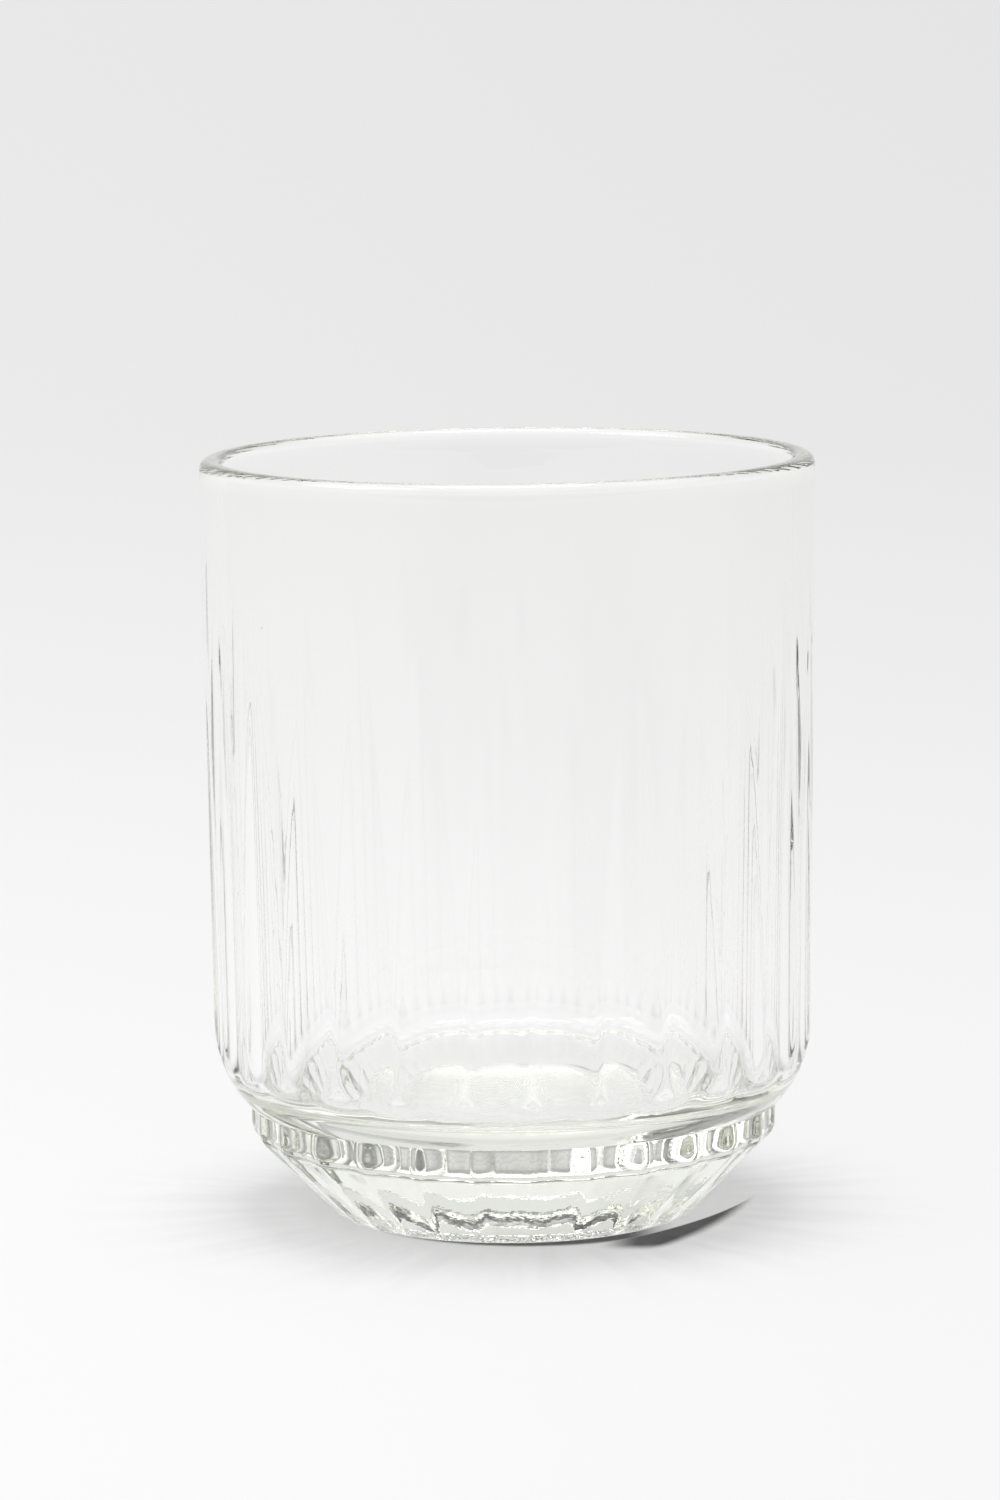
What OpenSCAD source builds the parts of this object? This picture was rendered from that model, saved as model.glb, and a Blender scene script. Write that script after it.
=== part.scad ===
// A pressed-glass juice tumbler with flutes around the body and a narrow stacking base.
// The origin is at the centre of the foot, on the table, with +Z up through the mouth.
// The outside is a stack of level rings of points, which follow the flutes up the tumbler.

/* [Tumbler] */
// Height from the table to the top of the rim
tumbler_h = 93; // [86:1:104]
// Outer diameter of the plain band at the rim
rim_d = 75; // [74.5:0.5:82]
// Thickness of the wall at the rim
rim_wall = 2.9; // [2.4:0.1:3.8]
// Width of the flat along the top of the rim, between its two rounded edges
rim_flat = 0.5; // [0.3:0.1:1]
// How far the band at the rim stands out over the body where the shoulder begins
rim_flare = 0.6; // [0.4:0.1:1.2]
// Radius of the curve that turns the body in over the base
shoulder_r = 14; // [11:0.5:16]
// Width of the shoulder, from the side of the body in to the edge of the step
shoulder_w = 4; // [3.6:0.1:5]

/* [Base] */
// Height of the step, which rests on the rim of another tumbler when stacked
base_h = 13.6; // [12:0.2:15]
// Width of the step around the base
step_w = 0.4; // [0.2:0.05:0.6]
// Height of the base's upright side, under the step
side_h = 2.4; // [1.6:0.2:3.2]
// Radius of the curve from the base's side to the slope below it
corner_r = 3; // [2:0.25:4]
// Outer diameter of the foot
foot_d = 45; // [43:0.5:47]
// Width of the ring that the tumbler stands on, around the hollow under the foot
foot_w = 3.5; // [2.5:0.25:5]
// Depth of the hollow under the foot
hollow_h = 0.9; // [0.5:0.1:1.5]

/* [Inside] */
// Thickness of the wall between the flutes where it turns into the floor
floor_wall = 2.4; // [2:0.1:4]
// Height of the inside floor over the table
floor_h = 16.5; // [13:0.5:19]
// Radius of the curve between the wall and the floor inside
bore_corner_r = 3; // [2:0.5:8]

/* [Flutes] */
// Number of flutes around the tumbler
flute_count = 28; // [22:1:28]
// Turn of the flutes about the axis, from one that faces the front
flute_turn = -3; // [-6:0.5:6]
// Distance from the rim down to the tips of the flutes
flute_drop = 12.5; // [9:0.5:18]
// Height of the flutes' lower ends over the step
flute_rise = 4.4; // [2:0.2:6]
// Depth of a flute where the shoulder begins, its deepest place
flute_depth = 0.7; // [0.5:0.05:1.1]
// Depth of a flute on the base
base_flute_depth = 0.4; // [0.3:0.05:0.7]

/* [Hidden] */

$fn = 96;

// The narrow base enters the mouth of another tumbler when stacked, so that it follows the rim
rim_r = rim_d / 2;
body_r = rim_r - rim_flare;
step_r = body_r - shoulder_w;
base_r = step_r - step_w;
bore_r = body_r - floor_wall;
foot_r = foot_d / 2;
hollow_r = foot_r - foot_w;
pitch = 360 / flute_count;

// The glass is clear, with a faint green-grey cast in its thick base
glass_tint = [0.86, 0.9, 0.88];

// Overrun by which the cuts pass the faces that they open
overrun = 2;

// Points on an arc about [x, z], from one angle to another in a number of steps
function arc(x, z, r, from, to, steps) =
    [for (i = [0 : steps]) let (a = from + (to - from) * i / steps) [x + r * cos(a), z + r * sin(a)]];

// Rim: the flat lies between two rounded edges of one radius
rim_round = (rim_wall - rim_flat) / 2;
wall_top = tumbler_h - rim_round;

// Shoulder: upright where it leaves the wall, it ends at the edge of the step
shoulder_x = body_r - shoulder_r;
shoulder_turn = acos((step_r - shoulder_x) / shoulder_r);
shoulder_h = base_h + shoulder_r * sin(shoulder_turn);

// Slope of the base: straight from the foot's edge until it runs into the corner's curve
side_low = base_h - side_h;
corner_x = base_r - corner_r;
reach = [corner_x - foot_r, side_low];
slope = atan2(reach.y, reach.x) - asin(corner_r / norm(reach));

// Radius of the wall's outside over the shoulder
function wall_x(z) = body_r + rim_flare * (z - shoulder_h) / (wall_top - shoulder_h);

// Heights of a flute's tip and lower end, and the turn of the shoulder at that end
tip_h = tumbler_h - flute_drop;
end_h = base_h + flute_rise;
end_turn = asin((shoulder_h - end_h) / shoulder_r);

// Steps in the curves and up the wall
corner_steps = 3;
end_steps = 3;
shoulder_steps = 5;
wall_steps = 6;
rim_steps = 3;

// Outline of the base, and of the body above it, up to the flat of the rim
base_line = concat(
    [[foot_r, 0]],
    arc(corner_x, side_low, corner_r, slope - 90, 0, corner_steps),
    [[base_r, base_h]]
);
body_line = concat(
    arc(shoulder_x, shoulder_h, shoulder_r, -shoulder_turn, -end_turn, end_steps),
    [for (i = [1 : shoulder_steps]) let (a = end_turn * pow(i / shoulder_steps - 1, 2))
        [shoulder_x + shoulder_r * cos(a), shoulder_h - shoulder_r * sin(a)]],
    [for (i = [wall_steps - 1 : -1 : 0]) let (z = tip_h - (tip_h - shoulder_h) * pow(i / wall_steps, 2))
        [wall_x(z), z]],
    arc(rim_r - rim_round, wall_top, rim_round, 0, 90, rim_steps)
);

// Shares of half the pitch: a flute's reach at its deepest, a base flute's reach, and the least
// reach, which keeps the points apart where there is no flute
flute_share = 0.95;
base_flute_share = 0.88;
least_share = 0.12;

// Places of the points across a flute, as shares of its reach
across_shares = [-1, -1/2, 0, 1/2, 1];

// A level ring of points at p = [radius, height], with flutes that reach a share of half the pitch
function ring(p, depth, share) = [
    for (i = [0 : flute_count - 1]) each concat(
        [for (s = across_shares) place(i * pitch + s * share * pitch / 2, p.x - depth * (1 - s * s), p.y)],
        [place((i + 1/2) * pitch, p.x, p.y)]
    )
];
function place(angle, r, z) = [r * cos(angle), r * sin(angle), z];

// Depth of the body's flutes at a height: it grows evenly from the tip down to the shoulder, and
// then runs out along the shoulder to the flute's lower end
function body_depth(z) = flute_depth * max(0, z > shoulder_h
    ? (tip_h - z) / (tip_h - shoulder_h)
    : 1 - pow((shoulder_h - z) / (shoulder_h - end_h), 2));

rings = concat(
    [for (p = base_line) ring(p, base_flute_depth, base_flute_share)],
    [for (p = body_line) ring(p, body_depth(p.y),
        max(least_share, flute_share * sqrt(body_depth(p.y) / flute_depth)))]
);

// Closed skin over a stack of rings, with a flat at each end that fans out from the axis
module skin(stack)
{
    n = len(stack[0]);
    last = len(stack) - 1;
    foot = n * len(stack);
    points = concat([for (r = stack) each r], [[0, 0, stack[0][0].z], [0, 0, stack[last][0].z]]);
    corners = [for (k = [0 : last - 1], j = [0 : n - 1]) [k * n + j, k * n + (j + 1) % n]];
    polyhedron(points, concat(
        [for (c = corners) [c[0], c[0] + n, c[1] + n]],
        [for (c = corners) [c[0], c[1] + n, c[1]]],
        [for (j = [0 : n - 1]) [foot, j, (j + 1) % n]],
        [for (j = [0 : n - 1]) [foot + 1, last * n + (j + 1) % n, last * n + j]]
    ));
}

// Space inside, open at the mouth
module bore()
{
    mouth_x = rim_r - rim_wall + rim_round;
    rotate_extrude() polygon(concat(
        [[0, floor_h]],
        arc(bore_r - bore_corner_r, floor_h + bore_corner_r, bore_corner_r, -90, 0, shoulder_steps),
        arc(mouth_x, wall_top, rim_round, 180, 90, rim_steps),
        [[mouth_x, tumbler_h + overrun], [0, tumbler_h + overrun]]
    ));
}

// The hollow lifts the middle of the foot off the table, so that it stands on a ring
module hollow()
{
    translate([0, 0, -overrun]) cylinder(r = hollow_r, h = hollow_h + overrun);
}

module tumbler()
{
    color(glass_tint)
    rotate([0, 0, flute_turn - 90]) difference() {
        skin(rings);
        bore();
        hollow();
    }
}

tumbler();
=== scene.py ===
"""A pressed-glass juice tumbler on a white table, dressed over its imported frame. Lengths are in metres."""

import logging
import math
from dataclasses import dataclass, field
from enum import Enum
from typing import Any, Union

import bpy
import numpy as np
from mathutils import Euler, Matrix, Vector


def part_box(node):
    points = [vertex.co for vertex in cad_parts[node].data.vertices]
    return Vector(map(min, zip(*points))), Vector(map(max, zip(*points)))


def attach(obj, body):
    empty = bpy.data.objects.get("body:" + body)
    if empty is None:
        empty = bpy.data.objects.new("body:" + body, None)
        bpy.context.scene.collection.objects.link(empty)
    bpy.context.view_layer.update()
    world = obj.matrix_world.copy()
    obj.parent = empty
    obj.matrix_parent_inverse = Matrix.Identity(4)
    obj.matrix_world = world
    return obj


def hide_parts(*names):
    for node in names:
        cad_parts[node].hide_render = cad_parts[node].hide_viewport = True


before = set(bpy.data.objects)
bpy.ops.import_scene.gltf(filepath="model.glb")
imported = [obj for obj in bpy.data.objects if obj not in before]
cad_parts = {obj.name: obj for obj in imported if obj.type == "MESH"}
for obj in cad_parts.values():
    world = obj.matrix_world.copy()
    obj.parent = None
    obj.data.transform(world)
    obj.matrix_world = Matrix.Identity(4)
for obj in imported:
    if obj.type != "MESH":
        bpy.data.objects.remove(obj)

log = logging.getLogger("tumbler")

MM = 0.001
FULL_TURN = 2 * math.pi
QUARTER_TURN = math.pi / 2
FRONT_DEGREES = -90

# The display curve of a colour: straight up to its knee, then a power
CURVE_KNEE = 0.04045
CURVE_SLOPE = 12.92
CURVE_LIFT = 0.055
CURVE_POWER = 2.4
DISPLAY_LEVELS = 255

# A point of an outline as (radius, height), or a pair such as a range's two ends
Spot = tuple[float, float]
Value = Union[float, "Wire"]


class Band(Enum):
    """The two fluted bands of the outside."""

    BASE = "base"
    BODY = "body"


class Wire:
    """One output socket, on which arithmetic adds Math nodes."""

    def __init__(self, graph: "Graph", socket: bpy.types.NodeSocket | None) -> None:
        """Keeps the graph that the socket belongs to.

        Args:
            graph: Graph that new nodes are added to.
            socket: Output socket that carries the value, or None after an output node.
        """
        self.graph = graph
        self.socket = socket

    def _math(self, operation: str, first: Value, second: Value) -> "Wire":
        """Adds one Math node and returns its result."""
        return self.graph.add("ShaderNodeMath", {"operation": operation}, {0: first, 1: second})

    def __add__(self, other: Value) -> "Wire":
        """Sum."""
        return self._math("ADD", self, other)

    def __radd__(self, other: Value) -> "Wire":
        """Sum with a number on the left."""
        return self._math("ADD", other, self)

    def __sub__(self, other: Value) -> "Wire":
        """Difference."""
        return self._math("SUBTRACT", self, other)

    def __rsub__(self, other: Value) -> "Wire":
        """Difference from a number on the left."""
        return self._math("SUBTRACT", other, self)

    def __mul__(self, other: Value) -> "Wire":
        """Product."""
        return self._math("MULTIPLY", self, other)

    def __rmul__(self, other: Value) -> "Wire":
        """Product with a number on the left."""
        return self._math("MULTIPLY", other, self)

    def __truediv__(self, other: Value) -> "Wire":
        """Quotient."""
        return self._math("DIVIDE", self, other)

    def larger(self, other: Value) -> "Wire":
        """The larger of two values."""
        return self._math("MAXIMUM", self, other)

    def root(self) -> "Wire":
        """Square root."""
        return self._math("SQRT", self, 0.0)

    def turn(self, other: Value) -> "Wire":
        """Angle whose tangent is this value over another."""
        return self._math("ARCTAN2", self, other)

    def ramp(self, start: float, stop: float, low: float = 0.0, high: float = 1.0) -> "Wire":
        """Smooth change from one level to another.

        Args:
            start: Value at which the change starts.
            stop: Value at which it ends; it may be the smaller one.
            low: Level at the start.
            high: Level at the end.

        Returns:
            The level.
        """
        if start > stop:
            start, stop, low, high = stop, start, high, low
        return self.graph.add("ShaderNodeMapRange", {"interpolation_type": "SMOOTHSTEP"}, {
            "Value": self, "From Min": start, "From Max": stop, "To Min": low, "To Max": high})


class Graph:
    """The node tree of one material or of the world."""

    def __init__(self, tree: bpy.types.NodeTree) -> None:
        """Clears the tree.

        Args:
            tree: Node tree to fill.
        """
        self.tree = tree
        tree.nodes.clear()

    def add(self, kind: str, settings: dict[str, Any] | None = None,
            inputs: dict[Union[str, int], Any] | None = None, out: Union[str, int] = 0) -> Wire:
        """Adds a node, sets it and links it.

        Args:
            kind: Node type.
            settings: The node's own settings, set first. "stops" holds a ramp's stops.
            inputs: Value or Wire for each named or numbered socket.
            out: Output socket to return.

        Returns:
            The wire of that output.
        """
        node = self.tree.nodes.new(kind)
        for name, value in (settings or {}).items():
            if name == "stops":
                self._stops(node, value)
            else:
                setattr(node, name, value)
        for key, value in (inputs or {}).items():
            if isinstance(value, Wire):
                self.tree.links.new(value.socket, node.inputs[key])
            else:
                node.inputs[key].default_value = value
        return Wire(self, node.outputs[out] if node.outputs else None)

    @staticmethod
    def _stops(node: bpy.types.Node, stops: list[tuple[float, tuple[float, ...]]]) -> None:
        """Sets a colour ramp's stops.

        Args:
            node: The ramp.
            stops: Place and colour of each stop.
        """
        ramp = node.color_ramp.elements
        while len(ramp) < len(stops):
            ramp.new(1.0)
        for element, (place, colour) in zip(ramp, stops):
            element.position = place
            element.color = (*colour[:3], 1.0)


def srgb(level: float) -> float:
    """Linear value of a display level from 0 to 255."""
    share = level / DISPLAY_LEVELS
    if share <= CURVE_KNEE:
        return share / CURVE_SLOPE
    return ((share + CURVE_LIFT) / (1 + CURVE_LIFT)) ** CURVE_POWER


def grey(level: float) -> tuple[float, float, float]:
    """Linear colour of a grey, given as a display level from 0 to 255."""
    return (srgb(level),) * 3


@dataclass(frozen=True)
class ClearGlass:
    """Soda-lime glass: clear where it is thin, with a green-grey cast where it is thick."""

    ior: float = 1.52
    cast: tuple[float, float, float] = (0.970, 0.975, 0.950)
    cast_density: float = 40.0
    # Flow lines up the wall
    flow_scale: float = 150.0
    flow_stretch: float = 0.06
    flow_detail: float = 2.0
    flow_height: float = 2.0e-6
    # Grain under the foot, and a fainter one on the slope of the base
    grain_scale: float = 1700.0
    grain_blend: float = 0.6
    grain_height: float = 5.0e-5
    grain_z: Spot = (1.2 * MM, 0.96 * MM)
    slope_z: Spot = (10.0 * MM, 7.0 * MM)
    slope_share: float = 0.12
    # Specks of dust
    speck_scale: float = 110.0
    speck_r: Spot = (0.030, 0.015)
    speck_tone: float = 0.35
    pick_scale: float = 52.0
    pick_range: Spot = (0.66, 0.68)
    # Haze
    haze_scale: float = 26.0
    haze_stretch: float = 0.3
    haze_detail: float = 4.0
    haze_range: Spot = (0.55, 0.75)
    haze_depth: float = 0.03

    def material(self) -> bpy.types.Material:
        """Builds the material.

        Returns:
            Glass with flow lines up its wall, a fine grain under the foot, and a little dust and haze.
        """
        made = bpy.data.materials.new("clear_glass")
        made.use_nodes = True
        g = Graph(made.node_tree)
        place = g.add("ShaderNodeTexCoord", out="Object")
        shader = g.add("ShaderNodeBsdfPrincipled", {}, {
            "Base Color": self._surface(g, place), "Roughness": 0.0, "IOR": self.ior,
            "Transmission Weight": 1.0, "Normal": self._relief(g, place)})
        depth = g.add("ShaderNodeVolumeAbsorption", {}, {
            "Color": (*self.cast, 1.0), "Density": self.cast_density})
        g.add("ShaderNodeOutputMaterial", {}, {"Surface": shader, "Volume": depth})
        return made

    def _surface(self, g: Graph, place: Wire) -> Wire:
        """Colour of the surface: clear, with faint haze and sparse specks of dust.

        Args:
            g: The material's graph.
            place: Point on the glass.

        Returns:
            The colour.
        """
        cells = g.add("ShaderNodeTexVoronoi", {}, {"Vector": place, "Scale": self.speck_scale},
                      out="Distance")
        pick = g.add("ShaderNodeTexNoise", {}, {"Vector": place, "Scale": self.pick_scale})
        few = pick.ramp(*self.pick_range)
        dot = cells.ramp(*self.speck_r)
        tall = g.add("ShaderNodeMapping", {}, {"Vector": place, "Scale": (1.0, 1.0, self.haze_stretch)})
        cloud = g.add("ShaderNodeTexNoise", {}, {
            "Vector": tall, "Scale": self.haze_scale, "Detail": self.haze_detail})
        level = 1.0 - cloud.ramp(*self.haze_range, 0.0, self.haze_depth) - dot * few * self.speck_tone
        return g.add("ShaderNodeCombineColor", {}, {"Red": level, "Green": level, "Blue": level})

    def _relief(self, g: Graph, place: Wire) -> Wire:
        """Bump of the surface: upright flow lines all over, and a grain under the foot.

        Args:
            g: The material's graph.
            place: Point on the glass.

        Returns:
            The bumped normal.
        """
        tall = g.add("ShaderNodeMapping", {}, {"Vector": place, "Scale": (1.0, 1.0, self.flow_stretch)})
        flow = g.add("ShaderNodeTexNoise", {}, {
            "Vector": tall, "Scale": self.flow_scale, "Detail": self.flow_detail})
        grain = g.add("ShaderNodeTexVoronoi", {"feature": "SMOOTH_F1"}, {
            "Vector": place, "Scale": self.grain_scale, "Smoothness": self.grain_blend})
        rise = g.add("ShaderNodeSeparateXYZ", inputs={0: place}, out="Z")
        under = rise.ramp(*self.grain_z, self.slope_share) * rise.ramp(*self.slope_z)
        height = flow * self.flow_height + grain * under * self.grain_height
        return g.add("ShaderNodeBump", {}, {"Height": height, "Strength": 1.0, "Distance": 1.0})


@dataclass
class Tumbler:
    """The tumbler: one skin of glass around the wall, the base and the cup, over the frame's node."""

    node: str = "tumbler"
    # Rim and body
    rim_wall: float = 2.9 * MM
    rim_flat: float = 0.5 * MM
    rim_flare: float = 0.6 * MM
    shoulder_r: float = 14.0 * MM
    shoulder_w: float = 4.0 * MM
    # Base
    base_h: float = 13.6 * MM
    step_w: float = 0.4 * MM
    side_h: float = 2.4 * MM
    corner_r: float = 3.0 * MM
    foot_d: float = 45.0 * MM
    foot_w: float = 3.5 * MM
    hollow_h: float = 0.9 * MM
    # Inside
    floor_wall: float = 2.4 * MM
    floor_h: float = 16.5 * MM
    bore_corner_r: float = 3.0 * MM
    # Flutes
    flute_count: int = 28
    flute_turn: float = -3.0
    flute_drop: float = 12.5 * MM
    flute_rise: float = 4.4 * MM
    flute_depth: float = 0.7 * MM
    flute_share: float = 0.95
    base_flute_depth: float = 0.4 * MM
    base_flute_share: float = 0.88
    # Rounding of the creases between flutes, and of the outline's sharp corners
    crease: float = 0.02 * MM
    base_crease: float = 0.10 * MM
    end_crease: float = 0.20 * MM
    end_reach: float = 6.0 * MM
    end_power: int = 20
    ease: float = 0.14 * MM
    ease_points: int = 5
    # Columns across a flute, and how far they are drawn to the lands
    across: int = 20
    land_pull: float = 0.09
    # Steps of the outline's curves
    corner_steps: int = 8
    shoulder_steps: int = 44
    rim_steps: int = 10
    bore_corner_steps: int = 20
    # Lengths of the steps along the outline's straight parts
    slope_step: float = 0.5 * MM
    side_step: float = 0.4 * MM
    wall_step: float = 1.4 * MM
    tip_step: float = 0.5 * MM
    band_step: float = 1.2 * MM
    bore_step: float = 2.0 * MM
    tips_h: float = 14.0 * MM
    # Stipple under the foot, in rows at 60 degrees that sway a little
    stipple_step: float = 0.2 * MM
    stipple_pitch: float = 1.15 * MM
    stipple_depth: float = 0.10 * MM
    stipple_fade: float = 0.8 * MM
    stipple_sway: float = 0.3
    stipple_sway_rates: Spot = (0.31, 0.27)
    stipple_row: Spot = (0.5, 0.866)
    plain_middle_r: float = 2.3 * MM
    # Differences from flute to flute
    depth_wander: float = 0.10
    tip_wander: float = 6.0 * MM
    turn_wander: float = 0.10
    wander_seed: int = 11
    # Waves up the inside of the wall
    wave_depth: float = 0.012 * MM
    wave_fade: float = 8.0 * MM
    wave_rise: float = 30.0 * MM
    wave_counts: tuple[int, int] = (9, 23)
    wave_sway: float = 2.0
    finish: ClearGlass = field(default_factory=ClearGlass)
    # Set for each column: place across its flute, and its flute's own depth and tip
    off: np.ndarray = field(init=False, repr=False)
    own_depth: np.ndarray = field(init=False, repr=False)
    own_tip: np.ndarray = field(init=False, repr=False)

    def __post_init__(self) -> None:
        """Takes the height and the rim's radius from the frame, and works out what follows."""
        low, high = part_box(self.node)
        self.height = high.z - low.z
        self.rim_r = (high.x - low.x) / 2
        self.rim_round = (self.rim_wall - self.rim_flat) / 2
        self.wall_top = self.height - self.rim_round
        self.body_r = self.rim_r - self.rim_flare
        self.step_r = self.body_r - self.shoulder_w
        self.base_r = self.step_r - self.step_w
        self.bore_r = self.body_r - self.floor_wall
        self.foot_r = self.foot_d / 2
        self.hollow_r = self.foot_r - self.foot_w
        self.shoulder_x = self.body_r - self.shoulder_r
        self.shoulder_turn = math.acos((self.step_r - self.shoulder_x) / self.shoulder_r)
        self.shoulder_h = self.base_h + self.shoulder_r * math.sin(self.shoulder_turn)
        self.tip_h = self.height - self.flute_drop
        self.end_h = self.base_h + self.flute_rise
        self.pitch = FULL_TURN / self.flute_count

    def _wall_x(self, z: float) -> float:
        """Radius of the wall's plain outside at a height over the shoulder."""
        return self.body_r + self.rim_flare * (z - self.shoulder_h) / (self.wall_top - self.shoulder_h)

    def _depth(self, z: float) -> np.ndarray:
        """Depth of each column's flute at a height.

        Args:
            z: Height over the table.

        Returns:
            The depths, which are below zero past the flute's two ends.
        """
        if z > self.shoulder_h:
            return self.own_depth * (self.own_tip - z) / (self.own_tip - self.shoulder_h)
        return self.own_depth * (1 - ((self.shoulder_h - z) / (self.shoulder_h - self.end_h)) ** 2)

    @staticmethod
    def _arc(x: float, z: float, r: float, start: float, stop: float, steps: int) -> list[Spot]:
        """Points on an arc about (x, z), between two angles in radians, ends included."""
        turns = np.linspace(start, stop, steps + 1)
        return [(x + r * math.cos(t), z + r * math.sin(t)) for t in turns]

    @staticmethod
    def _line(a: Spot, b: Spot, step: float) -> list[Spot]:
        """Points from a to b at about the given step, without the ends."""
        count = max(1, round(math.dist(a, b) / step))
        return [tuple(p + (q - p) * i / count for p, q in zip(a, b)) for i in range(1, count)]

    def _eased(self, a: Spot, corner: Spot, b: Spot) -> list[Spot]:
        """Points that round a sharp corner between its two neighbours, as fire-polished glass is.

        Args:
            a: Spot before the corner.
            corner: The sharp corner.
            b: Spot after the corner.

        Returns:
            Points of the rounding.
        """
        start, stop = (self._toward(corner, other) for other in (a, b))
        shares = np.linspace(0.0, 1.0, self.ease_points)
        return [tuple((1 - t) ** 2 * p + 2 * t * (1 - t) * c + t ** 2 * q
                      for p, c, q in zip(start, corner, stop)) for t in shares]

    def _toward(self, corner: Spot, other: Spot) -> Spot:
        """Spot at the easing's reach from a corner, on the way to another spot."""
        share = min(1.0, self.ease / math.dist(corner, other))
        return tuple(c + (o - c) * share for c, o in zip(corner, other))

    def _base_line(self) -> list[Spot]:
        """Outline of the base.

        Returns:
            Spots from the edge of the foot to the step.
        """
        low = self.base_h - self.side_h
        x = self.base_r - self.corner_r
        reach = (x - self.foot_r, low)
        slope = math.atan2(reach[1], reach[0]) - math.asin(self.corner_r / math.hypot(*reach))
        corner = self._arc(x, low, self.corner_r, slope - QUARTER_TURN, 0.0, self.corner_steps)
        foot = self._eased((self.hollow_r, 0.0), (self.foot_r, 0.0), corner[0])
        step = self._eased(corner[-1], (self.base_r, self.base_h), (self.step_r, self.base_h))
        return [*foot, *self._line(foot[-1], corner[0], self.slope_step), *corner,
                *self._line(corner[-1], step[0], self.side_step), *step]

    def _body_line(self) -> list[Spot]:
        """Outline of the body, with its rings closest together on the shoulder and by the flutes' tips.

        Returns:
            Spots from the step to the flat on the rim.
        """
        shoulder = self._arc(self.shoulder_x, self.shoulder_h, self.shoulder_r, -self.shoulder_turn, 0.0,
                             self.shoulder_steps)
        rim = self._arc(self.rim_r - self.rim_round, self.wall_top, self.rim_round, 0.0, QUARTER_TURN,
                        self.rim_steps)
        tip = (self._wall_x(self.tip_h), self.tip_h)
        fade = (self._wall_x(self.tip_h - self.tips_h), self.tip_h - self.tips_h)
        edge = self._eased((self.base_r, self.base_h), shoulder[0], shoulder[1])
        return [*edge, *shoulder[1:], *self._line(shoulder[-1], fade, self.wall_step), fade,
                *self._line(fade, tip, self.tip_step), tip, *self._line(tip, rim[0], self.band_step), *rim]

    def _bore_line(self) -> list[Spot]:
        """Outline of the cup.

        Returns:
            Spots from the flat on the rim down to the middle of the floor.
        """
        mouth = self.rim_r - self.rim_wall + self.rim_round
        rim = self._arc(mouth, self.wall_top, self.rim_round, QUARTER_TURN, math.pi, self.rim_steps)
        x, z = self.bore_r - self.bore_corner_r, self.floor_h + self.bore_corner_r
        corner = self._arc(x, z, self.bore_corner_r, 0.0, -QUARTER_TURN, self.bore_corner_steps)
        return [*rim, *self._line(rim[-1], corner[0], self.bore_step), *corner,
                *self._line(corner[-1], (0.0, self.floor_h), self.bore_step)]

    def _hollow_line(self) -> list[Spot]:
        """Outline under the foot, from the middle of the hollow to the edge of the ring it stands on."""
        reach = np.linspace(0.0, 1.0, round(self.hollow_r / self.stipple_step) + 1)[1:]
        return [(self.hollow_r * t, self.hollow_h * (1 - t * t)) for t in reach]

    def _angles(self) -> np.ndarray:
        """Angles of the columns about the axis, closest together at the lands.

        Returns:
            The angles in radians, from the middle of one flute.
        """
        share = np.arange(self.across) / self.across
        share = share - 2 * self.land_pull * np.sin(FULL_TURN * share) / FULL_TURN
        return (np.arange(self.flute_count)[:, None] * self.pitch + share[None, :] * self.pitch).ravel()

    @staticmethod
    def _soft(depth: np.ndarray, crease: float) -> np.ndarray:
        """Depth where it is positive, rounded at the crease as fire-polished glass is."""
        return 0.5 * (depth + np.sqrt(depth * depth + crease * crease))

    def _flutes(self, z: float, band: Band) -> np.ndarray:
        """Depth of the flutes along one ring of the outside.

        Args:
            z: Height of the ring.
            band: The fluted band that the ring belongs to.

        Returns:
            How far each point lies under the plain radius.
        """
        if band is Band.BASE:
            return self._soft(self.base_flute_depth * (1 - (self.off / self.base_flute_share) ** 2),
                              self.base_crease)
        near = min(1.0, max(0.0, 1 - (z - self.end_h) / self.end_reach))
        low = min(1.0, z / self.end_h) ** self.end_power
        crease = self.crease + (self.end_crease - self.crease) * near * low
        return self._soft(self._depth(z) - self.flute_depth * (self.off / self.flute_share) ** 2, crease)

    def build(self) -> bpy.types.Object:
        """Builds the skin, dresses it and puts it in the place of the frame's node.

        Returns:
            The dressed piece.
        """
        turn = self._angles()
        self._wander(turn)
        rows: list[np.ndarray] = []
        for x, z in self._hollow_line():
            rows.append(self._row(turn, np.full_like(turn, x), self._stipple(turn, x, z)))
        for line, band in ((self._base_line(), Band.BASE), (self._body_line(), Band.BODY)):
            for x, z in line:
                rows.append(self._row(turn, x - self._flutes(z, band), np.full_like(turn, z)))
        for x, z in self._bore_line():
            rows.append(self._row(turn, x + self._waves(turn, z), np.full_like(turn, z)))
        piece = self._mesh(rows, (0.0, 0.0, self.hollow_h), (0.0, 0.0, self.floor_h))
        piece.data.materials.append(self.finish.material())
        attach(piece, "root")
        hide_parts(self.node)
        log.info("tumbler_glass: %d rings of %d points", len(rows), len(turn))
        return piece

    def _wander(self, turn: np.ndarray) -> None:
        """Gives each flute its own depth, tip and place, as pressed glass has.

        Args:
            turn: Angle of each column.
        """
        own = np.random.default_rng(self.wander_seed).uniform(-1, 1, (3, self.flute_count))
        own = own[:, np.round(turn / self.pitch).astype(int) % self.flute_count]
        off = ((turn / self.pitch + 0.5) % 1.0 - 0.5) * 2
        self.off = off - self.turn_wander * own[2] * (1 - off ** 2)
        self.own_depth = self.flute_depth * (1 + self.depth_wander * own[0])
        self.own_tip = self.tip_h + self.tip_wander * (own[1] - 1)

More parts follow.
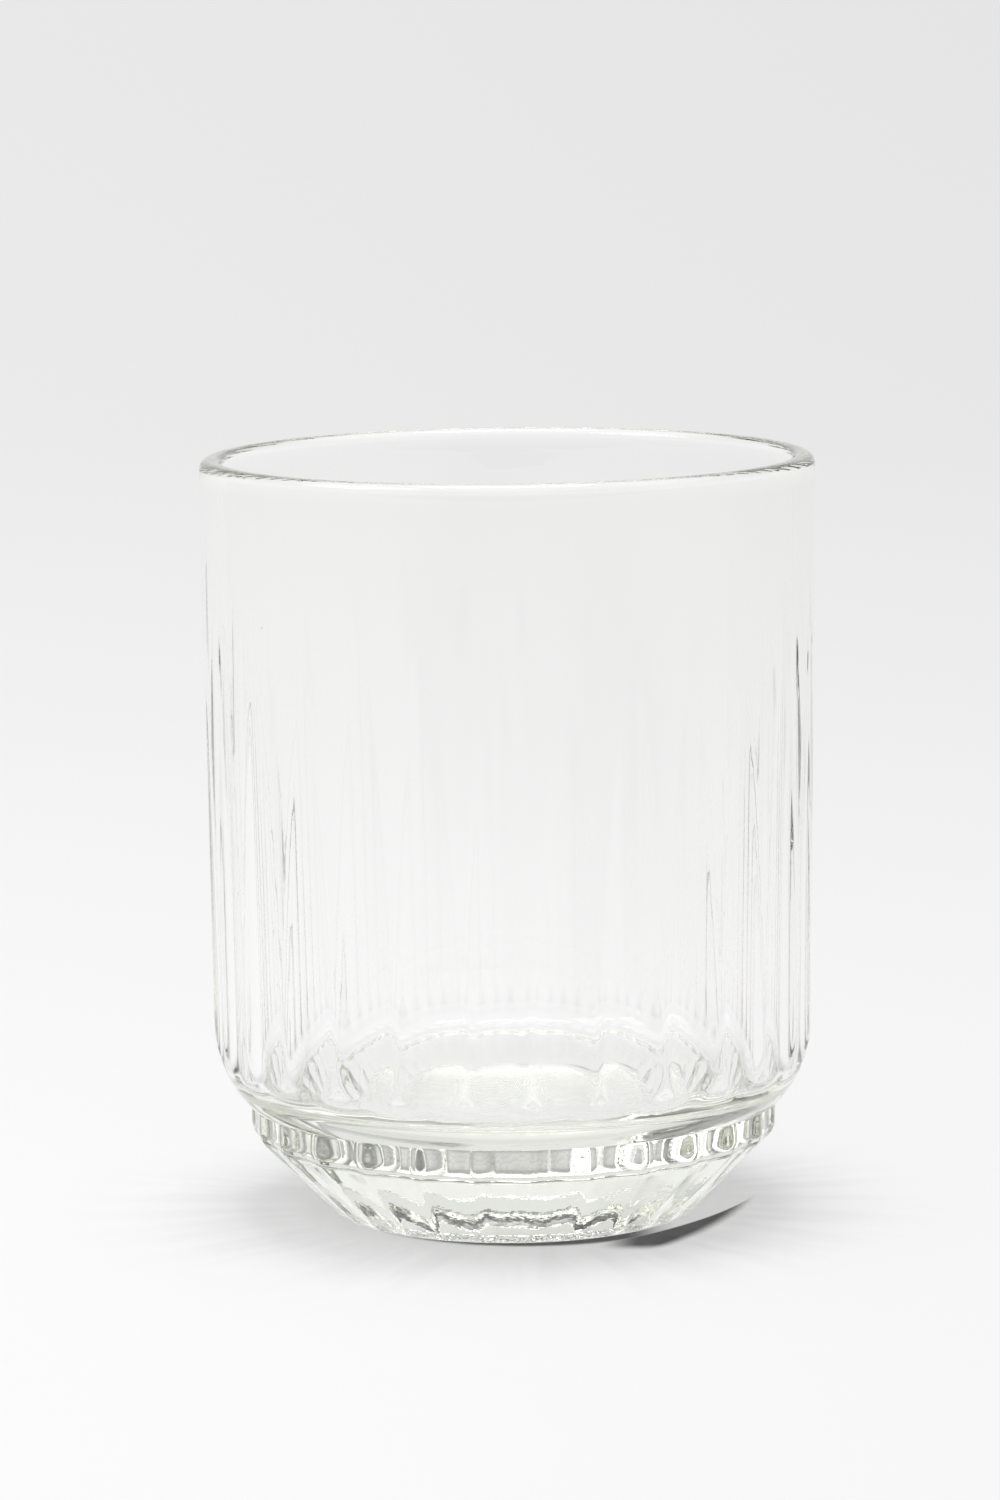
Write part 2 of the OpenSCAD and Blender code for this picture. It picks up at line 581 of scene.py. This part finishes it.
    def _waves(self, turn: np.ndarray, z: float) -> np.ndarray:
        """Faint waves up the inside of the wall, none at the rim or on the floor.

        Args:
            turn: Angle of each column.
            z: Height of the ring.

        Returns:
            How far each point lies over the plain radius, which is zero or less.
        """
        floor_away = z - self.floor_h - self.bore_corner_r
        fade = max(0.0, min(1.0, floor_away / self.wave_fade, (self.wall_top - z) / self.wave_fade))
        sway = z / self.wave_rise
        few, many = self.wave_counts
        return -self.wave_depth * fade * (
            1 + np.sin(few * turn + sway) * np.sin(many * turn - self.wave_sway * sway))

    def _stipple(self, turn: np.ndarray, x: float, z: float) -> np.ndarray:
        """Heights along a ring under the foot, pitted all over the hollow but for its middle.

        Args:
            turn: Angle of each column.
            x: Radius of the ring.
            z: Height of the ring.

        Returns:
            Height of each point.
        """
        if x < self.plain_middle_r:
            return np.full_like(turn, z)
        k = FULL_TURN / self.stipple_pitch
        sway = self.stipple_sway / k
        across, along = self.stipple_row
        px, py = x * np.cos(turn), x * np.sin(turn)
        px = px + sway * np.sin(self.stipple_sway_rates[0] * k * py)
        py = py + sway * np.sin(self.stipple_sway_rates[1] * k * px)
        pits = (np.cos(k * px) * np.cos(k * (across * px + along * py))
                * np.cos(k * (across * px - along * py)))
        fade = min(1.0, (self.hollow_r - x) / self.stipple_fade)
        return np.maximum(0.0, z + self.stipple_depth * pits * fade * min(1.0, z / self.stipple_depth))

    def _row(self, turn: np.ndarray, radius: np.ndarray, height: np.ndarray) -> np.ndarray:
        """Points of one ring, with the flutes turned as the photograph shows them."""
        a = turn + math.radians(self.flute_turn + FRONT_DEGREES)
        return np.stack([radius * np.cos(a), radius * np.sin(a), height], axis=1)

    @staticmethod
    def _mesh(rows: list[np.ndarray], start: tuple[float, float, float],
              stop: tuple[float, float, float]) -> bpy.types.Object:
        """Joins rings into a closed smooth mesh.

        Args:
            rows: Rings of points, from under the foot round to the middle of the floor.
            start: Point that closes the first ring.
            stop: Point that closes the last ring.

        Returns:
            The piece.
        """
        n, m = len(rows[0]), len(rows)
        points = np.concatenate([*rows, np.array([start, stop])])
        j = np.arange(n)
        nxt = (j + 1) % n
        quads = np.concatenate([
            np.stack([k * n + j, k * n + nxt, (k + 1) * n + nxt, (k + 1) * n + j], axis=1)
            for k in range(m - 1)])
        ends = [np.stack([np.full(n, m * n), nxt, j], axis=1),
                np.stack([np.full(n, m * n + 1), (m - 1) * n + j, (m - 1) * n + nxt], axis=1)]
        faces = quads.tolist() + ends[0].tolist() + ends[1].tolist()
        return linked("tumbler_glass", points.tolist(), faces)


def linked(name: str, points: list[Any], faces: list[Any]) -> bpy.types.Object:
    """Makes a smooth mesh object and links it to the scene.

    Args:
        name: Name of the mesh and of the object.
        points: Its points.
        faces: The points of each face, by number.

    Returns:
        The object.
    """
    mesh = bpy.data.meshes.new(name)
    mesh.from_pydata(points, [], faces)
    mesh.polygons.foreach_set("use_smooth", [True] * len(mesh.polygons))
    mesh.update()
    made = bpy.data.objects.new(name, mesh)
    bpy.context.scene.collection.objects.link(made)
    return made


@dataclass(frozen=True)
class Paper:
    """White paper under and behind the tumbler, with painted shade that greys it a little further back."""

    # Display levels by the distance away, along the table and up the backdrop: painted shade, greyer further
    # back
    tones: tuple[Spot, ...] = ((-0.3, 252.0), (0.0, 250.5), (0.1, 248.5), (0.2, 246.5), (0.45, 241.5),
                               (0.96, 236.5), (1.5, 233.0))
    # Painted shade: the tone falls a little from left to right, as seen from the camera
    lean_reach: float = 0.15
    lean: Spot = (1.022, 0.978)
    camera_y: float = -0.7
    least_away: float = 0.5
    # Share of the plain tone over the lit one, by the distance from the tumbler, and in the glass
    lit_r: Spot = (0.023, 0.050)
    plain_share: Spot = (0.25, 0.9)
    seen_share: float = 0.92
    roughness: float = 0.9
    gloss: float = 0.2
    # Painted shadow: a wedge of shade between two circles (centre and radius), and a painted contact shadow
    # in a third
    shade_near: tuple[float, float, float] = (-22.5 * MM, 22.4 * MM, 55.9 * MM)
    shade_far: tuple[float, float, float] = (-32.2 * MM, 12.6 * MM, 63.2 * MM)
    shade_edge: float = 0.4 * MM
    shade_soft: float = 2.2 * MM
    shade_x: Spot = (9.0 * MM, 15.0 * MM)
    shade_y: Spot = (-27.0 * MM, -23.5 * MM)
    contact: tuple[float, float, float] = (2.1 * MM, -1.2 * MM, 23.6 * MM)
    contact_soft: float = 1.6 * MM
    contact_x: Spot = (20.0 * MM, 13.0 * MM)
    foot_r: float = 22.5 * MM
    shade_depth: float = 0.85
    # Painted streaks of shade around the foot, from the flutes' caustics
    streak_turns: float = 5.0
    streak_radii: float = 20.0
    streak_scale: float = 2.0
    streak_detail: float = 3.0
    streak_range: Spot = (0.35, 0.65)
    streak_depth: float = 0.05
    streak_r: tuple[float, float, float] = (0.024, 0.030, 0.060)

    def material(self) -> bpy.types.Material:
        """Builds the material.

        Returns:
            Paper that keeps the tumbler's shadow near it, with its plain tone further off and in the glass.
        """
        made = bpy.data.materials.new("white_paper")
        made.use_nodes = True
        g = Graph(made.node_tree)
        place = g.add("ShaderNodeTexCoord", out="Object")
        x, y, z = (g.add("ShaderNodeSeparateXYZ", inputs={0: place}, out=axis) for axis in "XYZ")
        radius = (x * x + y * y).root()
        tone = self._tone(x, y, z, radius)
        lit = g.add("ShaderNodeBsdfPrincipled", {}, {
            "Base Color": tone, "Roughness": self.roughness, "Specular IOR Level": self.gloss})
        plain = g.add("ShaderNodeEmission", {}, {"Color": tone, "Strength": 1.0})
        camera, inside, mirror = (g.add("ShaderNodeLightPath", out=ray)
                                  for ray in ("Is Camera Ray", "Is Transmission Ray", "Is Glossy Ray"))
        share = (camera * radius.ramp(*self.lit_r, *self.plain_share)).larger(
            inside.larger(mirror) * self.seen_share)
        both = g.add("ShaderNodeMixShader", {}, {0: share, 1: lit, 2: plain})
        g.add("ShaderNodeOutputMaterial", {}, {"Surface": both})
        return made

    def _tone(self, x: Wire, y: Wire, z: Wire, radius: Wire) -> Wire:
        """Colour of the paper, with painted shade: the lean of its tone, and the shadow and streaks beside
        the foot.

        Args:
            x: Place across.
            y: Place away from the camera.
            z: Height.
            radius: Distance from the tumbler's axis.

        Returns:
            The colour.
        """
        g = x.graph
        low, high = self.tones[0][0], self.tones[-1][0]
        # Painted shade: the paper's tone greys further back along the table and up the backdrop
        share = g.add("ShaderNodeMapRange", {"clamp": True}, {
            "Value": y + z, "From Min": low, "From Max": high})
        tone = g.add("ShaderNodeValToRGB", {
            "stops": [((p - low) / (high - low), grey(level)) for p, level in self.tones]}, {0: share})
        # Painted shade: the lean of the tone to the right, and the painted shadow and streaks beside the
        # foot
        away = (y - self.camera_y).larger(self.least_away)
        level = (x / away).ramp(-self.lean_reach, self.lean_reach, *self.lean) * self._painted_shade(x, y, radius)
        return g.add("ShaderNodeVectorMath", {"operation": "SCALE"}, {0: tone, "Scale": level})

    def _painted_shade(self, x: Wire, y: Wire, radius: Wire) -> Wire:
        """Painted contact shadow beside the foot, and painted streaks of shade that the flutes throw.

        Args:
            x: Place across.
            y: Place away from the camera.
            radius: Distance from the tumbler's axis.

        Returns:
            Share of the paper's tone that the painted shade leaves.
        """
        near, far, rim = (((x - cx) * (x - cx) + (y - cy) * (y - cy)).root() - r
                          for cx, cy, r in (self.shade_near, self.shade_far, self.contact))
        # Painted shadow: a wedge between two circles, to the right of the foot
        painted_wedge_shadow = near.ramp(0.0, self.shade_edge) * far.ramp(0.0, -self.shade_soft)
        painted_wedge_shadow = painted_wedge_shadow * x.ramp(*self.shade_x) * y.ramp(*self.shade_y)
        # Painted contact shadow along the edge of the foot
        line = rim.ramp(0.0, -self.contact_soft) * radius.ramp(self.foot_r - self.shade_edge, self.foot_r)
        line = line * x.ramp(*self.contact_x)
        g = x.graph
        # Painted streaks of shade in a band around the foot
        around = g.add("ShaderNodeCombineXYZ", {}, {
            "X": y.turn(x) * self.streak_turns, "Y": radius * self.streak_radii})
        painted_streaks = g.add("ShaderNodeTexNoise", {}, {
            "Vector": around, "Scale": self.streak_scale, "Detail": self.streak_detail})
        start, middle, stop = self.streak_r
        painted_streaks = painted_streaks.ramp(*self.streak_range) * radius.ramp(start, middle) * radius.ramp(stop, middle)
        # The painted shadow and painted streaks are taken off the paper's tone
        return 1.0 - painted_wedge_shadow.larger(line) * self.shade_depth - painted_streaks * self.streak_depth


@dataclass(frozen=True)
class Surroundings:
    """Light from all around: bright overhead and low down, with a dark belt between behind the tumbler."""

    # Brightness by the angle over the horizon, behind the tumbler and on the camera's side
    behind: tuple[Spot, ...] = ((-90, 1.0), (0, 0.9), (8, 0.82), (18, 0.78), (24, 0.35), (30, 0.12),
                                (41, 0.15), (47, 0.6), (51, 1.08), (66, 1.28), (90, 1.37))
    before: tuple[Spot, ...] = ((-90, 0.5), (-3, 0.5), (2, 1.3), (8, 1.12), (18, 0.82), (28, 0.68),
                                (38, 0.68), (50, 1.08), (66, 1.28), (90, 1.37))
    turn: Spot = (-0.7, 0.5)
    lit_share: float = 0.62
    bounces: int = 24

    def build(self) -> None:
        """Makes the scene's world, and lets light pass often enough inside the thick base."""
        light = bpy.context.scene.cycles
        light.max_bounces = light.glossy_bounces = light.transmission_bounces = self.bounces
        world = bpy.data.worlds.new("surroundings")
        bpy.context.scene.world = world
        world.use_nodes = True
        g = Graph(world.node_tree)
        way = g.add("ShaderNodeTexCoord", out="Generated")
        up = self._place(g.add("ShaderNodeSeparateXYZ", inputs={0: way}, out="Z"))
        away = g.add("ShaderNodeSeparateXYZ", inputs={0: way}, out="Y")
        behind, before = (g.add("ShaderNodeValToRGB", {"stops": [
            (self._place(math.sin(math.radians(el))), (level,) * 3) for el, level in side]}, {0: up})
            for side in (self.behind, self.before))
        tone = g.add("ShaderNodeMix", {"data_type": "RGBA"}, {
            "Factor": away.ramp(*self.turn), 6: before, 7: behind}, out=2)
        camera, inside, mirror = (g.add("ShaderNodeLightPath", out=ray)
                                  for ray in ("Is Camera Ray", "Is Transmission Ray", "Is Glossy Ray"))
        seen = camera.larger(inside).larger(mirror)
        glow = g.add("ShaderNodeBackground", {}, {
            "Color": tone, "Strength": self.lit_share + (1.0 - self.lit_share) * seen})
        g.add("ShaderNodeOutputWorld", {}, {"Surface": glow})

    @staticmethod
    def _place(sine: Value) -> Value:
        """Place on a ramp, from 0 to 1, of the sine of an angle over the horizon."""
        return sine * 0.5 + 0.5


@dataclass(frozen=True)
class Softbox:
    """A soft rectangular lamp."""

    name: str
    place: tuple[float, float, float]
    size: Spot
    power: float
    aim: tuple[float, float, float] = (0.0, 0.0, 0.05)

    def build(self) -> None:
        """Adds the lamp, turned to the tumbler."""
        data = bpy.data.lights.new(self.name, "AREA")
        data.shape = "RECTANGLE"
        data.size, data.size_y = self.size
        data.energy = self.power
        lamp = bpy.data.objects.new(self.name, data)
        lamp.location = self.place
        lamp.rotation_euler = (Vector(self.aim) - lamp.location).to_track_quat("-Z", "Y").to_euler()
        bpy.context.scene.collection.objects.link(lamp)


@dataclass
class Studio:
    """The white table that turns up into a backdrop, and the light around the tumbler."""

    table_w: float = 4.0
    table_near: float = -1.2
    table_far: float = 1.3
    table_h: float = -0.05 * MM
    backdrop_h: float = 0.45
    sweep_r: float = 0.3
    sweep_points: int = 25
    paper: Paper = field(default_factory=Paper)
    surroundings: Surroundings = field(default_factory=Surroundings)
    lamps: tuple[Softbox, ...] = (
        Softbox("softbox_left", (-0.75, -0.15, 1.0), (0.6, 0.6), 2.2),
        Softbox("softbox_top", (0.0, 0.15, 1.1), (0.5, 0.4), 3.2),
    )

    def build(self) -> None:
        """Builds the table with its backdrop, the lamps and the surroundings."""
        sweep = self._sweep()
        sweep.data.materials.append(self.paper.material())
        for lamp in self.lamps:
            lamp.build()
        self.surroundings.build()
        log.info("studio: table, backdrop, surroundings and %d lamps", len(self.lamps))

    def _sweep(self) -> bpy.types.Object:
        """A table that turns up into a backdrop in one curve.

        Returns:
            The sweep.
        """
        bend = self.table_far - self.sweep_r
        turns = np.linspace(0.0, QUARTER_TURN, self.sweep_points)
        curve = [(bend + self.sweep_r * math.sin(a), self.sweep_r * (1 - math.cos(a))) for a in turns]
        line = [(self.table_near, 0.0), *curve, (self.table_far, self.backdrop_h)]
        points = [(s * self.table_w / 2, y, z + self.table_h) for y, z in line for s in (-1, 1)]
        faces = [(2 * i, 2 * i + 1, 2 * i + 3, 2 * i + 2) for i in range(len(line) - 1)]
        return linked("paper_sweep", points, faces)


@dataclass
class Viewpoint:
    """The camera, where the photograph was taken from."""

    distance: float = 0.700
    height: float = 0.160
    aside: float = -0.00125
    pitch: float = 8.4
    roll: float = -0.68
    # Scale of the photograph at the tumbler, in its own pixels to the millimetre
    scale_px: float = 8.24
    photo_h: float = 1500.0
    sensor: float = 36.0
    nearest: float = 0.01

    def build(self) -> bpy.types.Object:
        """Adds the camera and makes it the scene's own.

        Returns:
            The camera.
        """
        data = bpy.data.cameras.new("camera")
        data.sensor_width = self.sensor
        data.lens = self.sensor * self.scale_px * self.distance / MM / self.photo_h
        data.clip_start = self.nearest
        camera = bpy.data.objects.new("camera", data)
        camera.location = (self.aside, -self.distance, self.height)
        tilt = Euler((math.radians(90 - self.pitch), 0.0, 0.0)).to_matrix()
        spin = Euler((0.0, 0.0, math.radians(self.roll))).to_matrix()
        camera.rotation_euler = (tilt @ spin).to_euler()
        bpy.context.scene.collection.objects.link(camera)
        bpy.context.scene.camera = camera
        log.info("camera: lens %.1f mm", data.lens)
        return camera


def main() -> None:
    """Builds the scene."""
    logging.basicConfig(level=logging.INFO, format="%(name)s: %(message)s")
    bpy.context.scene.view_settings.view_transform = "Standard"
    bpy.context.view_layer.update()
    Viewpoint().build()
    Tumbler().build()
    Studio().build()
    bpy.context.view_layer.update()


if __name__ == "__main__":
    main()
